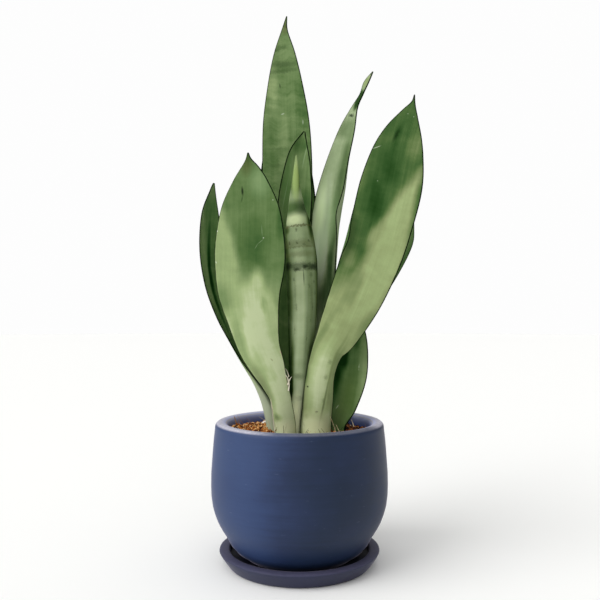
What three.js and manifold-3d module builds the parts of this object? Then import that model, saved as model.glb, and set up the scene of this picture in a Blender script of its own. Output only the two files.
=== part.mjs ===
// Snake plant with ten silvery green leaves in a round pot of matt blue ceramic, on its own saucer.
// Millimetres, +Z up. The origin is the middle of the saucer's underside, and -Y is the front.

import * as THREE from 'three';
import { mergeVertices } from 'three/addons/utils/BufferGeometryUtils.js';
import Module from 'manifold-3d';

const wasm = await Module();
wasm.setup();

// Driving dimensions
const GAP = 0.3; // air kept between pieces that rest on each other
const SIDES = 48; // flat faces round the pot, the saucer and the soil

const SAUCER_RADIUS = 72.5;
const SAUCER_FOOT_RADIUS = 64;
const SAUCER_HEIGHT = 14;
const SAUCER_FLOOR = 7.7; // height of the dry floor that the pot stands on
const SAUCER_HOLLOW_RADIUS = 62.5;

const POT_BASE = SAUCER_FLOOR + GAP;
const POT_HEIGHT = 120;
const POT_TOP = POT_BASE + POT_HEIGHT;
const POT_FOOT_RADIUS = 50;
const POT_BELLY_RADIUS = 80;
const POT_WALL = 10;
const POT_FLOOR = 10;
const LIP_WIDTH = 11.5;
const LIP_RISE = 6; // height of the round top of the lip
const LIP_OUTER_RADIUS = 76.5;
const DRAIN_RADIUS = 10;

const SOIL_EDGE = 116.5; // height of the soil at the pot's wall
const SOIL_MIDDLE = 118.5;
const LEAF_LEVEL = 120; // height of each leaf's first station, just above the soil
const ROOT_LEVEL = 94; // depth that the leaves stand in the soil to

const LEAF_ROOT_THICKNESS = 3.6;
const LEAF_TIP_THICKNESS = 1.6;
const LEAF_EDGE_THICKNESS = 0.9;

const BLUE_CERAMIC = { color: 0x43527a, roughness: 0.75, metalness: 0 };
const SOIL = { color: 0x6f4a2c, roughness: 1, metalness: 0 };
const SILVER_GREEN = { color: 0x9bb07f, roughness: 0.5, metalness: 0 };
const MID_GREEN = { color: 0x6c8a58, roughness: 0.5, metalness: 0 };
const DARK_GREEN = { color: 0x44663a, roughness: 0.5, metalness: 0 };

// A station is a place along a leaf: x, y and z of the middle of the blade, the width measured round
// its curve, the compass turn of its face (0 looks to the front, 90 to the right), and the angles in
// degrees that its left and right halves turn forward by, or backward where they are negative.
const LEAVES = [
  {
    name: 'leaf_tall_back',
    look: MID_GREEN,
    columns: 6,
    stations: [
      [-8.5, 22, 120, 22, 0, 35, 35],
      [-10, 26, 162, 28, 0, 29, 29],
      [-11, 28, 219, 37, -4, 23, 23],
      [-11.5, 28, 276, 44, -4, 18, 18],
      [-11.5, 27, 333, 48, -4, 15, 15],
      [-11.5, 26, 371, 48, -4, 14, 14],
      [-12.5, 25, 409, 44, -4, 13, 13],
      [-13.5, 24, 446, 32, -4, 13, 13],
      [-14, 23, 472, 20, -4, 13, 13],
      [-14, 23, 493, 6, -4, 13, 13],
      [-12, 22, 506, 1, -4, 13, 13],
    ],
  },
  {
    name: 'leaf_back_centre',
    look: MID_GREEN,
    columns: 6,
    stations: [
      [1, 35, 120, 24, 0, 30, 30],
      [-1.5, 40, 156, 34, 0, 28, 28],
      [-4.5, 45, 204, 45, 0, 24, 24],
      [-7.5, 47, 258, 52, 0, 20, 20],
      [-10, 48, 312, 56, 0, 17, 17],
      [-12, 48, 347, 54, 0, 17, 17],
      [-13.5, 46, 376, 46, 0, 15, 15],
      [-14, 45, 405, 27, 0, 14, 14],
      [-14, 44, 426, 2, 0, 14, 14],
    ],
  },
  {
    name: 'leaf_behind_right',
    look: DARK_GREEN,
    columns: 6,
    stations: [
      [20.5, 26, 120, 16, 10, -30, -30],
      [23, 24, 148, 17.5, 10, -25, -25],
      [29.5, 20, 191, 20, 10, -20, -20],
      [47, 16, 221, 31, 10, -20, -20],
      [65, 14, 252, 39, 10, -17, -17],
      [86, 10, 289, 38, 10, -13, -13],
      [92, 8, 307, 31, 10, -12, -12],
      [97, 6, 348, 11, 10, -11, -11],
      [98.5, 5, 364, 1.5, 10, -11, -11],
    ],
  },
  {
    name: 'leaf_narrow_twisted',
    look: SILVER_GREEN,
    columns: 8,
    stations: [
      [18.5, 14, 120, 20.5, -35, 40, 45],
      [20.5, 14, 159, 25, -35, 45, 50],
      [23, 13, 210, 30.5, -35, 52, 60],
      [25.5, 12, 252, 34.5, -35, 55, 66],
      [28.5, 11, 294, 38, -34, 58, 80],
      [32, 10, 317, 42, -30, 56, 115],
      [35, 8, 339, 38, -30, 50, 92],
      [39, 6, 367, 27.5, -29, 38, 72],
      [45, 4, 394, 17.5, -28, 30, 45],
      [50.5, 2, 413, 7, -28, 28, 28],
      [56.5, 1, 425, 4, -30, 30, 30],
      [61, 1, 436, 5.5, -30, 30, 30],
      [67, 0, 446, 1, -30, 30, 30],
    ],
  },
  {
    name: 'leaf_inner_cup',
    look: DARK_GREEN,
    columns: 8,
    stations: [
      [-6.5, 15, 120, 28, 0, 60, 60],
      [-6.5, 15, 159, 28.5, 0, 50, 50],
      [-6, 14, 201, 30.5, 0, 40, 40],
      [-6, 13, 238, 31.5, 0, 33, 33],
      [-5.5, 12, 275, 32.5, 0, 32, 30],
      [-5.5, 11, 307, 33, 1, 34, 32],
      [-4, 10, 335, 33, 3, 38, 36],
      [-2, 8, 360, 26.5, 5, 42, 42],
      [0, 7, 376, 18, 6, 40, 40],
      [4.5, 6, 393, 1.5, 8, 40, 40],
    ],
  },
  {
    name: 'leaf_rolled_spear',
    look: SILVER_GREEN,
    columns: 12,
    stations: [
      [-1.5, -9, 120, 30, 0, -145, -145],
      [-0.5, -14, 162, 41, 0, -145, -145],
      [1, -17, 193, 50, 0, -145, -145],
      [2.5, -19, 220, 60, 0, -145, -145],
      [2.5, -20, 246, 65, 0, -145, -145],
      [1.5, -20, 271, 67, 0, -140, -140],
      [0, -20, 290, 60, 0, -135, -135],
      [-1, -19, 304, 51, 0, -130, -130],
      [-2.5, -17, 320, 27, 0, -120, -120],
      [-3.5, -16, 337, 12.5, 0, -90, -90],
      [-3, -16, 349, 7, 0, -60, -60],
      [-2.5, -16, 366, 1.5, 0, -30, -30],
    ],
  },
  {
    name: 'leaf_low_right',
    look: DARK_GREEN,
    columns: 6,
    stations: [
      [35, 0, 120, 14, -8, 35, 35],
      [40.5, -2, 142, 24.5, -8, 30, 30],
      [45, -2, 165, 32, -8, 25, 25],
      [47, -2, 185, 32, -8, 22, 22],
      [47.5, -1, 206, 27, -8, 20, 20],
      [44.5, 1, 229, 17, -8, 20, 20],
      [40.5, 3, 247, 1.5, -8, 20, 20],
    ],
  },
  {
    name: 'leaf_far_left',
    look: DARK_GREEN,
    columns: 8,
    stations: [
      [-28, -4, 120, 22.5, 90, 110, 90],
      [-30.5, -5, 136, 22.5, 85, 112, 80],
      [-34, -6, 149, 22.5, 78, 125, 70],
      [-41, -8, 167, 21.5, 66, 85, 60],
      [-51.5, -12, 188, 21.5, 56, 60, 50],
      [-61, -17, 211, 25, 50, 42, 38],
      [-67, -19, 226, 26.5, 48, 34, 32],
      [-75.5, -22, 252, 25.5, 45, 30, 30],
      [-79, -25, 281, 24.5, 41, 28, 28],
      [-79, -26, 310, 19, 39, 26, 26],
      [-76, -27, 331, 6.5, 38, 20, 20],
      [-74.5, -28, 339, 1.5, 38, 20, 20],
    ],
  },
  {
    name: 'leaf_broad_left',
    look: SILVER_GREEN,
    columns: 6,
    stations: [
      [-12.5, -22, 120, 22, 0, -55, -55],
      [-16, -26, 148, 20.5, 0, -50, -50],
      [-21, -29, 163, 24, 0, -40, -38],
      [-27, -32, 178, 31, 0, -30, -28],
      [-35, -36, 198, 37.5, 0, -20, -16],
      [-39.5, -41, 221, 45, 0, -12, -8],
      [-42.5, -46, 245, 54, 0, -5, -3],
      [-41.5, -50, 268, 59.5, 0, 0, 0],
      [-41, -53, 289, 57.5, 0, 2, 2],
      [-40.5, -56, 314, 48, 0, 4, 4],
      [-40.5, -58, 334, 30, 0, 5, 5],
      [-41, -59, 345, 16.5, 0, 5, 5],
      [-42, -60, 352.5, 5, 0, 5, 5],
      [-42.5, -60, 358, 1, 0, 5, 5],
    ],
  },
  {
    name: 'leaf_broad_right',
    look: SILVER_GREEN,
    columns: 6,
    stations: [
      [15, -18, 120, 31.5, 6, -50, -50],
      [17, -22, 149, 29.5, 6, -45, -45],
      [19, -26, 172, 27, 6, -38, -38],
      [24.5, -30, 192, 29, 5, -28, -28],
      [33.5, -32, 208, 37.5, 3, -18, -16],
      [48, -37, 239, 46.5, 0, -5, -3],
      [62, -41, 275, 51, -4, 4, 4],
      [70.5, -44, 305, 53, -6, 7, 7],
      [77.5, -46, 334, 53, -8, 7, 7],
      [82.5, -48, 359, 44.5, -8, 7, 7],
      [87, -50, 377, 32, -8, 7, 7],
      [92, -52, 393, 14, -8, 7, 7],
      [95, -53, 401.5, 3.5, -8, 7, 7],
      [96, -53, 408, 1, -8, 7, 7],
    ],
  },
];

// Round pieces: a profile of radii and heights, turned round the Z axis

function points(...pairs) {
  return pairs.map(([radius, height]) => new THREE.Vector2(radius, height));
}

function curveThrough(pairs, steps) {
  return new THREE.SplineCurve(points(...pairs)).getPoints(steps);
}

function turned(profile) {
  return new THREE.LatheGeometry(profile, SIDES).rotateX(Math.PI / 2);
}

// The saucer is one thick dish: a flared side, a wide blunt rim and a flat floor.
function saucerGeometry() {
  const rimRound = 2;
  return turned(points(
    [0, 0],
    [SAUCER_FOOT_RADIUS, 0],
    [SAUCER_RADIUS - 3.5, SAUCER_HEIGHT / 2],
    [SAUCER_RADIUS, SAUCER_HEIGHT - rimRound],
    [SAUCER_RADIUS - rimRound / 2, SAUCER_HEIGHT - rimRound / 4],
    [SAUCER_RADIUS - rimRound, SAUCER_HEIGHT],
    [SAUCER_HOLLOW_RADIUS + 2, SAUCER_HEIGHT],
    [SAUCER_HOLLOW_RADIUS + 0.8, SAUCER_HEIGHT - 1],
    [SAUCER_HOLLOW_RADIUS, SAUCER_FLOOR],
    [0, SAUCER_FLOOR],
  ));
}

// The inside of the pot runs beside its outside, a wall's thickness in, from the floor to the lip.
const POT_INNER = [
  [46, POT_BASE + POT_FLOOR],
  [56, POT_BASE + 19],
  [63, POT_BASE + 30],
  [67.5, POT_BASE + 43],
  [POT_BELLY_RADIUS - POT_WALL, POT_BASE + 62],
  [69, POT_BASE + 84],
  [66.5, POT_BASE + 102],
  [LIP_OUTER_RADIUS - LIP_WIDTH, POT_TOP - LIP_RISE],
];
const INNER_STEPS = 9;
const OUTER_STEPS = 12;
const LIP_STEPS = 6;

// The pot is a swollen cup with a narrow foot, a thick round lip and a drain hole in its floor.
function potGeometry() {
  const outside = curveThrough([
    [POT_FOOT_RADIUS, POT_BASE],
    [57.5, POT_BASE + 6],
    [67, POT_BASE + 20],
    [74, POT_BASE + 32],
    [78.5, POT_BASE + 46],
    [POT_BELLY_RADIUS, POT_BASE + 64],
    [79, POT_BASE + 86],
    [LIP_OUTER_RADIUS, POT_TOP - LIP_RISE],
  ], OUTER_STEPS);
  const lipMiddle = LIP_OUTER_RADIUS - LIP_WIDTH / 2;
  const lip = new THREE.EllipseCurve(lipMiddle, POT_TOP - LIP_RISE, LIP_WIDTH / 2, LIP_RISE, 0, Math.PI);
  const inside = curveThrough(POT_INNER, INNER_STEPS).reverse();
  const bottom = points([DRAIN_RADIUS, POT_BASE + POT_FLOOR], [DRAIN_RADIUS, POT_BASE]);
  return turned([...outside, ...lip.getPoints(LIP_STEPS).slice(1, -1), ...inside, ...bottom, outside[0]]);
}

// Leaves

// One half of a leaf's section, walked from its middle out to its margin while the heading turns
// evenly: how far it lies across and forward, and which way it leans, at each column.
function halfSection(width, turn, columns) {
  const step = width / 2 / columns;
  const half = [{ across: 0, forward: 0, lean: 0 }];
  for (let column = 0; column < columns; column += 1) {
    const last = half[column];
    const heading = turn * (column + 0.5) / columns;
    half.push({
      across: last.across + step * Math.cos(heading),
      forward: last.forward + step * Math.sin(heading),
      lean: turn * (column + 1) / columns,
    });
  }
  return half;
}

// The front and back points of a leaf's section, from its left margin to its right one, on a blade
// that climbs along climb. grow widens and thickens the section alike, for the hole in the soil.
function leafSection(station, climb, columns, middleThickness, grow = 0) {
  const [x, y, z, width, face, left, right] = station;
  const turn = THREE.MathUtils.degToRad(face);
  const normal = new THREE.Vector3(Math.sin(turn), -Math.cos(turn), 0);
  normal.addScaledVector(climb, -normal.dot(climb)).normalize();
  const sideways = new THREE.Vector3().crossVectors(climb, normal);
  const grown = width + 2 * grow;
  const front = [];
  const back = [];
  for (let column = -columns / 2; column <= columns / 2; column += 1) {
    const side = Math.sign(column);
    const halfTurn = THREE.MathUtils.degToRad(side < 0 ? left : right) * grown / width;
    const { across, forward, lean } = halfSection(grown, halfTurn, columns / 2)[Math.abs(column)];
    const middle = new THREE.Vector3(x, y, z)
      .addScaledVector(sideways, side * across)
      .addScaledVector(normal, forward);
    const outward = normal.clone().multiplyScalar(Math.cos(lean))
      .addScaledVector(sideways, -side * Math.sin(lean));
    const share = Math.abs(column) / (columns / 2);
    const thickness = LEAF_EDGE_THICKNESS + (middleThickness - LEAF_EDGE_THICKNESS) * (1 - share ** 2);
    front.push(middle.clone().addScaledVector(outward, thickness / 2 + grow));
    back.push(middle.clone().addScaledVector(outward, -thickness / 2 - grow));
  }
  return { front, back };
}

// Sections from bottom to top become one closed body: a front, a back, two margins and two ends.
// The front and the back are split along the same diagonals.
function bodyThrough(sections) {
  const columns = sections[0].front.length - 1;
  const position = [];
  for (const { front, back } of sections) {
    for (const point of [...front, ...back]) {
      position.push(point.x, point.y, point.z);
    }
  }
  const front = (row, column) => row * 2 * (columns + 1) + column;
  const back = (row, column) => front(row, column) + columns + 1;
  const index = [];
  const quad = (a, b, c, d) => index.push(a, b, c, a, c, d);
  const top = sections.length - 1;
  for (let row = 0; row < top; row += 1) {
    for (let column = 0; column < columns; column += 1) {
      quad(front(row, column), front(row, column + 1), front(row + 1, column + 1), front(row + 1, column));
      index.push(back(row, column), back(row + 1, column + 1), back(row, column + 1));
      index.push(back(row, column), back(row + 1, column), back(row + 1, column + 1));
    }
    quad(back(row, 0), front(row, 0), front(row + 1, 0), back(row + 1, 0));
    quad(front(row, columns), back(row, columns), back(row + 1, columns), front(row + 1, columns));
  }
  for (let column = 0; column < columns; column += 1) {
    quad(back(0, column), back(0, column + 1), front(0, column + 1), front(0, column));
    quad(front(top, column), front(top, column + 1), back(top, column + 1), back(top, column));
  }
  const geometry = new THREE.BufferGeometry();
  geometry.setAttribute('position', new THREE.Float32BufferAttribute(position, 3));
  geometry.setIndex(index);
  return geometry;
}

// A smooth run through the stations. It starts straight up, because the station that would come
// before the first is the second one mirrored at the soil.
function stationAt(stations, place) {
  const from = Math.min(Math.floor(place), stations.length - 2);
  const share = place - from;
  const start = stations[from];
  const end = stations[from + 1];
  const mirrored = [...stations[1]];
  mirrored[2] = 2 * stations[0][2] - stations[1][2];
  const before = stations[from - 1] ?? mirrored;
  const after = stations[from + 2] ?? end.map((value, i) => 2 * value - start[i]);
  return start.map((value, i) => 0.5 * (2 * value + (end[i] - before[i]) * share
    + (2 * before[i] - 5 * value + 4 * end[i] - after[i]) * share ** 2
    + (3 * value - before[i] - 3 * end[i] + after[i]) * share ** 3));
}

function middleThicknessAt(width, share) {
  const along = THREE.MathUtils.lerp(LEAF_ROOT_THICKNESS, LEAF_TIP_THICKNESS, share);
  return Math.max(LEAF_EDGE_THICKNESS, Math.min(along, 0.3 * width + 0.5));
}

const UP = new THREE.Vector3(0, 0, 1);
const ROWS_PER_STATION = 2;
const CLIMB_STEP = 0.01; // share of a station that the blade's direction is read over

// A leaf stands straight in the soil up to its first station and then follows the others.
function leafGeometry({ columns, stations }) {
  const last = stations.length - 1;
  const root = [...stations[0]];
  root[2] = ROOT_LEVEL;
  const rootThickness = middleThicknessAt(root[3], 0);
  const sections = [leafSection(root, UP, columns, rootThickness)];
  const rows = last * ROWS_PER_STATION;
  for (let row = 0; row <= rows; row += 1) {
    const place = row / ROWS_PER_STATION;
    const station = stationAt(stations, place);
    station[3] = Math.max(station[3], 1);
    const below = new THREE.Vector3(...stationAt(stations, Math.max(place - CLIMB_STEP, 0)));
    const above = new THREE.Vector3(...stationAt(stations, Math.min(place + CLIMB_STEP, last)));
    const climb = row === 0 ? UP : above.sub(below).normalize();
    sections.push(leafSection(station, climb, columns, middleThicknessAt(station[3], row / rows)));
  }
  return bodyThrough(sections);
}

// Soil

function solidFrom(geometry) {
  const bare = new THREE.BufferGeometry();
  bare.setAttribute('position', geometry.getAttribute('position'));
  bare.setIndex(geometry.getIndex());
  const merged = mergeVertices(bare, 0.001);
  const corners = merged.getIndex().array;
  const kept = [];
  for (let i = 0; i < corners.length; i += 3) {
    const [a, b, c] = corners.slice(i, i + 3);
    if (a !== b && b !== c && c !== a) {
      kept.push(a, b, c);
    }
  }
  return new wasm.Manifold(new wasm.Mesh({
    numProp: 3,
    vertProperties: new Float32Array(merged.getAttribute('position').array),
    triVerts: new Uint32Array(kept),
  }));
}

function geometryFrom(solid) {
  const mesh = solid.getMesh();
  const geometry = new THREE.BufferGeometry();
  geometry.setAttribute('position', new THREE.BufferAttribute(mesh.vertProperties, 3));
  geometry.setIndex(new THREE.BufferAttribute(mesh.triVerts, 1));
  return geometry;
}

// The hole that a leaf stands in: its root's section, straight up and a gap larger all round
function rootHole({ columns, stations }) {
  const section = (height) => {
    const station = [...stations[0]];
    station[2] = height;
    return leafSection(station, UP, columns, middleThicknessAt(station[3], 0), GAP);
  };
  return solidFrom(bodyThrough([section(ROOT_LEVEL - GAP), section(LEAF_LEVEL + 5)]));
}

// The soil fills the pot to just under its lip, a little higher in the middle.
function soilGeometry() {
  const filled = curveThrough(POT_INNER, INNER_STEPS)
    .filter((point) => point.y < SOIL_EDGE - 2)
    .map((point) => new THREE.Vector2(point.x - GAP, point.y));
  filled[0].y += GAP;
  const edgeRadius = LIP_OUTER_RADIUS - LIP_WIDTH - GAP;
  const whole = turned([
    new THREE.Vector2(0, POT_BASE + POT_FLOOR + GAP),
    ...filled,
    ...points([edgeRadius, SOIL_EDGE], [45, SOIL_EDGE + 0.8], [0, SOIL_MIDDLE]),
  ]);
  return geometryFrom(LEAVES.reduce((soil, leaf) => soil.subtract(rootHole(leaf)), solidFrom(whole)));
}

// Assembly

function piece(name, geometry, look) {
  const mesh = new THREE.Mesh(geometry, new THREE.MeshStandardMaterial(look));
  mesh.name = name;
  return mesh;
}

const group = new THREE.Group();
group.add(piece('saucer', saucerGeometry(), BLUE_CERAMIC));
group.add(piece('pot', potGeometry(), BLUE_CERAMIC));
group.add(piece('potting_soil', soilGeometry(), SOIL));
for (const leaf of LEAVES) {
  group.add(piece(leaf.name, leafGeometry(leaf), leaf.look));
}

export default group;
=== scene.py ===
# A potted snake plant: ten silvery green leaves in a round pot of matt blue ceramic, on its own saucer.
# Metres, +Z up. The camera stands in front, at -Y, and looks along +Y.

import math
import random

import bpy
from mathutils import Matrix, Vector, noise


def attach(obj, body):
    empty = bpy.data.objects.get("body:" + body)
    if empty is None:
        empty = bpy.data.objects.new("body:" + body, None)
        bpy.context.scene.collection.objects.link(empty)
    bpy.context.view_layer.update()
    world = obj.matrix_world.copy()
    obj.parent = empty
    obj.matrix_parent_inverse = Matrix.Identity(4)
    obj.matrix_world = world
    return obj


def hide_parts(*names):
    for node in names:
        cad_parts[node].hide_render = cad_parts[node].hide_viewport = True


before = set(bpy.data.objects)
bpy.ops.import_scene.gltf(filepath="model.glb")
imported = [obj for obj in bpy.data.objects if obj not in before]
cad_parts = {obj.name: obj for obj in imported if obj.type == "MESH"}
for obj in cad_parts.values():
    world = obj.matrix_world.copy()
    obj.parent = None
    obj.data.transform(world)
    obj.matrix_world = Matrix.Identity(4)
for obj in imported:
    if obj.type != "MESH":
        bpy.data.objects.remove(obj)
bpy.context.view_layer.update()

# Saucer
# The saucer is one thick dish of cast stoneware, with a flared side and a wide blunt rim, pale on
# its top: partly rubbed wear, partly painted sheen. It is turned here as on a wheel, ring by ring.

MM = 0.001
ROUND_SIDES = 144
SAME_POINT = 0.01 * MM
SMOOTH_BELOW = math.radians(35)  # edges that turn by less are shaded smooth
# From the underside out over the rim to the floor inside: radius and height in millimetres
SAUCER_RINGS = [
    (1, 0), (62, 0), (63.6, 0.3), (64.6, 1), (66.4, 3.4), (69, 7), (70.9, 9.8), (72, 11.7), (72.4, 12.6),
    (72.2, 13.3), (71.5, 13.8), (70.5, 14), (67.5, 14), (64.9, 14), (63.9, 13.8), (63.2, 13.1),
    (62.9, 11.6), (62.6, 9), (62.2, 8.2), (61.2, 7.7), (40, 7.7), (1, 7.7),
]


def deselect_all():
    bpy.ops.object.select_all(action="DESELECT")


def turn_on_wheel(name, rings, sides=ROUND_SIDES):
    """A round piece drawn up ring by ring, from radii and heights in millimetres"""
    deselect_all()
    radius, height = rings[0]
    bpy.ops.mesh.primitive_circle_add(vertices=sides, radius=radius * MM, location=(0, 0, height * MM))
    piece = bpy.context.object
    piece.name = name
    piece.data.name = name
    bpy.ops.object.transform_apply(location=True, rotation=True, scale=True)
    bpy.ops.object.mode_set(mode="EDIT")
    bpy.ops.mesh.select_all(action="SELECT")
    for next_radius, next_height in rings[1:]:
        rise = (0, 0, (next_height - height) * MM)
        bpy.ops.mesh.extrude_edges_move(TRANSFORM_OT_translate={"value": rise})
        spread = next_radius / radius
        bpy.ops.transform.resize(value=(spread, spread, 1), center_override=(0, 0, next_height * MM))
        radius, height = next_radius, next_height
    bpy.ops.mesh.select_all(action="SELECT")
    bpy.ops.mesh.remove_doubles(threshold=SAME_POINT)
    bpy.ops.mesh.fill_holes(sides=0)
    bpy.ops.mesh.select_all(action="SELECT")
    bpy.ops.mesh.normals_make_consistent(inside=False)
    bpy.ops.object.mode_set(mode="OBJECT")
    bpy.ops.object.shade_smooth_by_angle(angle=SMOOTH_BELOW)
    return piece


def linear(hex_code):
    """An sRGB hex colour as Blender's linear colour, by the curve of the sRGB standard"""
    shares = [int(hex_code[i:i + 2], 16) / 255 for i in (1, 3, 5)]
    return [
        share / 12.92 if share <= 0.04045 else ((share + 0.055) / 1.055) ** 2.4 for share in shares
    ] + [1]


def join(tree, socket, value):
    """Links an input to another node's output, or sets it to a number, a vector or a hex colour"""
    if isinstance(value, bpy.types.NodeSocket):
        tree.links.new(value, socket)
    else:
        socket.default_value = linear(value) if isinstance(value, str) else value


def new_material(name):
    """A material, and the function that adds its nodes"""
    material = bpy.data.materials.new(name)
    material.use_nodes = True
    tree = material.node_tree

    def add(kind, given, stops=(), **settings):
        """Adds a node with its settings, and with its inputs linked or set. Returns its outputs."""
        node = tree.nodes.new("ShaderNode" + kind)
        for setting, value in settings.items():
            setattr(node, setting, value)
        for socket, value in given.items():
            join(tree, node.inputs[socket], value)
        if stops:
            elements = node.color_ramp.elements
            elements.remove(elements[1])
            elements[0].position = stops[0][0]
            elements[0].color = linear(stops[0][1])
            for place, colour in stops[1:]:
                elements.new(place).color = linear(colour)
        return node.outputs

    return material, add


def finish_with(material, **given):
    """Joins the patterns to the shader, and sets what is the same all over"""
    tree = material.node_tree
    for name, value in given.items():
        join(tree, tree.nodes["Principled BSDF"].inputs[name.replace("_", " ")], value)


def between(start, end):
    """What a Map Range node reads from: lengths in millimetres"""
    return {"From Min": start * MM, "From Max": end * MM}


def drawn_out(across, up):
    """The scale of a pattern whose features are this wide and this high, in millimetres"""
    return 1 / (across * MM), 1 / (across * MM), 1 / (up * MM)


EVEN_COAT = 0.29  # added to the glaze's tone all over
# how much darker the right side is painted, as a share of the left side's painted light: painted shade
SHADED_RIGHT_SHARE = 0.6
PAINTED_SHADE_DEPTH = 1.5  # millimetres in which the painted shade reaches its full strength


# Matt glazed stoneware, cast and sprayed: a satin blue with a dusty lavender bloom where it turns away,
# faint level streaks from the turning, fine dark pinholes, a few pale scuffs, and pale edges that are
# partly rubbed wear and partly painted sheen. Painted light makes it lighter at the left, towards the top
# and on the pot's inner wall; painted shade darkens its right side and the saucer's floor under the pot.
def blue_stoneware(name, pale_edge_from, pale_edge_to, wear_and_sheen_amount, wear_and_sheen_colour, front_wear_and_sheen, painted_shade_below,
                   inner_light_and_dust, left_light, greyed):
    """From the height pale_edge_from up to pale_edge_to the edge is pale with wear_and_sheen_colour, by
    wear_and_sheen_amount at the sides and the back and by front_wear_and_sheen of that in front: partly
    rubbed wear, partly painted sheen. Below painted_shade_below and inside the saucer's wall it is painted
    dark, as painted shade under the pot.
    inner_light_and_dust is how strongly the pot's inner wall is painted lighter, as painted light, and how
    much soil dust lies at its inner edge. sprayed is how much lighter its left side is painted, as painted
    light; its right side is painted darker by SHADED_RIGHT_SHARE of that, as painted shade. greyed is how
    far dust greys it all over. Heights are millimetres."""
    material, add = new_material(name)
    place = add("TexCoord", {})["Object"]
    parts = add("SeparateXYZ", {0: place})
    height = parts["Z"]
    flat_place = add("VectorMath", {0: place, 1: (1, 1, 0)}, operation="MULTIPLY")[0]
    from_middle = add("VectorMath", {0: flat_place}, operation="LENGTH")["Value"]
    # Glaze tone in clouds and streaks, with painted light that makes it lighter at the left and towards the
    # top, and painted shade that makes it darker at the right
    clouds = add("TexNoise", {"Vector": place, "Scale": 1 / (40 * MM), "Detail": 3})["Fac"]
    level = add("Mapping", {"Vector": place, "Scale": drawn_out(55, 3)})[0]
    streaks = add("TexNoise", {"Vector": level, "Scale": 1, "Detail": 4, "Roughness": 0.6})["Fac"]
    mottled = add("Mix", {"Factor": 0.35, "A": clouds, "B": streaks})["Result"]
    # painted light on the left side and painted shade on the right side
    side = add("MapRange", {
        "Value": parts["X"], **between(20, -50),
        "To Min": EVEN_COAT - SHADED_RIGHT_SHARE * left_light, "To Max": EVEN_COAT + left_light,
    }, interpolation_type="SMOOTHSTEP")[0]
    painted_top_light = add("MapRange", {"Value": height, **between(80, 115), "To Max": 0.05})[0]
    painted_light = add("Math", {0: side, 1: painted_top_light})[0]
    glaze_and_painted_light = add("Math", {0: mottled, 1: 0.42, 2: painted_light}, operation="MULTIPLY_ADD")[0]
    colour = add("ValToRGB", {"Fac": glaze_and_painted_light}, stops=[
        (0.1, "#0f1c30"), (0.35, "#15243c"), (0.5, "#1e2c4b"), (0.65, "#293a5f"), (0.9, "#364970"),
    ])["Color"]
    # Pinholes and scuffs
    pits = add("TexNoise", {"Vector": place, "Scale": 1 / (1.1 * MM), "Detail": 1})["Fac"]
    pitted = add("MapRange", {"Value": pits, "From Min": 0.72, "From Max": 0.78, "To Max": 0.4})[0]
    drawn = add("Mapping", {"Vector": place, "Scale": drawn_out(9, 1.6)})[0]
    scuffs = add("TexNoise", {"Vector": drawn, "Scale": 1, "Detail": 4, "Roughness": 0.6})["Fac"]
    scuffed = add("MapRange", {"Value": scuffs, "From Min": 0.68, "From Max": 0.8, "To Max": 0.3})[0]
    # The pale edge, in grains: partly rubbed wear, partly painted sheen, strongest at the sides and the back
    grains = add("TexNoise", {"Vector": place, "Scale": 1 / (3 * MM), "Detail": 4})["Fac"]
    grain_share = add("MapRange", {"Value": grains, "From Min": 0.3, "From Max": 0.6, "To Min": 0.7})[0]
    above = add("MapRange", {
        "Value": height, **between(pale_edge_from, pale_edge_to), "To Max": wear_and_sheen_amount,
    }, interpolation_type="SMOOTHSTEP")[0]
    aside = add("Math", {0: parts["X"], 1: 20 * MM}, operation="SUBTRACT")[0]
    from_front = add("Math", {0: aside}, operation="ABSOLUTE")[0]
    off_front = add("MapRange", {"Value": from_front, **between(38, 62), "To Min": front_wear_and_sheen})[0]
    behind = add("MapRange", {"Value": parts["Y"], **between(-46, -26)})[0]
    sides_and_back = add("Math", {0: off_front, 1: behind}, operation="MAXIMUM")[0]
    rubbing_and_sheen = add("Math", {0: above, 1: sides_and_back}, operation="MULTIPLY")[0]
    rubbed_and_sheen = add("Math", {0: rubbing_and_sheen, 1: grain_share}, operation="MULTIPLY")[0]
    # The pot's inner wall, painted lighter as painted light, palest near the top, with soil dust at its
    # edge
    high = add("MapRange", {"Value": height, **between(100, 112), "To Max": inner_light_and_dust})[0]
    painted_inner_light = add("MapRange", {"Value": from_middle, **between(71, 67), "To Max": high})[0]
    near_top = add("MapRange", {"Value": height, **between(118, 126)})[0]
    painted_wall_light = add("Mix", {"Factor": near_top, "A": "#5068b6", "B": "#a6add4"}, data_type="RGBA")["Result"]
    inner_edge = add("MapRange", {"Value": from_middle, **between(67.2, 66.4), "To Max": inner_light_and_dust})[0]
    dusty = add("Math", {0: inner_edge, 1: above}, operation="MULTIPLY")[0]
    # Painted shade on the saucer's floor, where the pot shades it
    below = add("MapRange", {
        "Value": height, "To Max": 0.85, **between(painted_shade_below, painted_shade_below - PAINTED_SHADE_DEPTH),
    })[0]
    painted_shade = add("MapRange", {"Value": from_middle, **between(63.6, 63), "To Max": below})[0]
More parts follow.
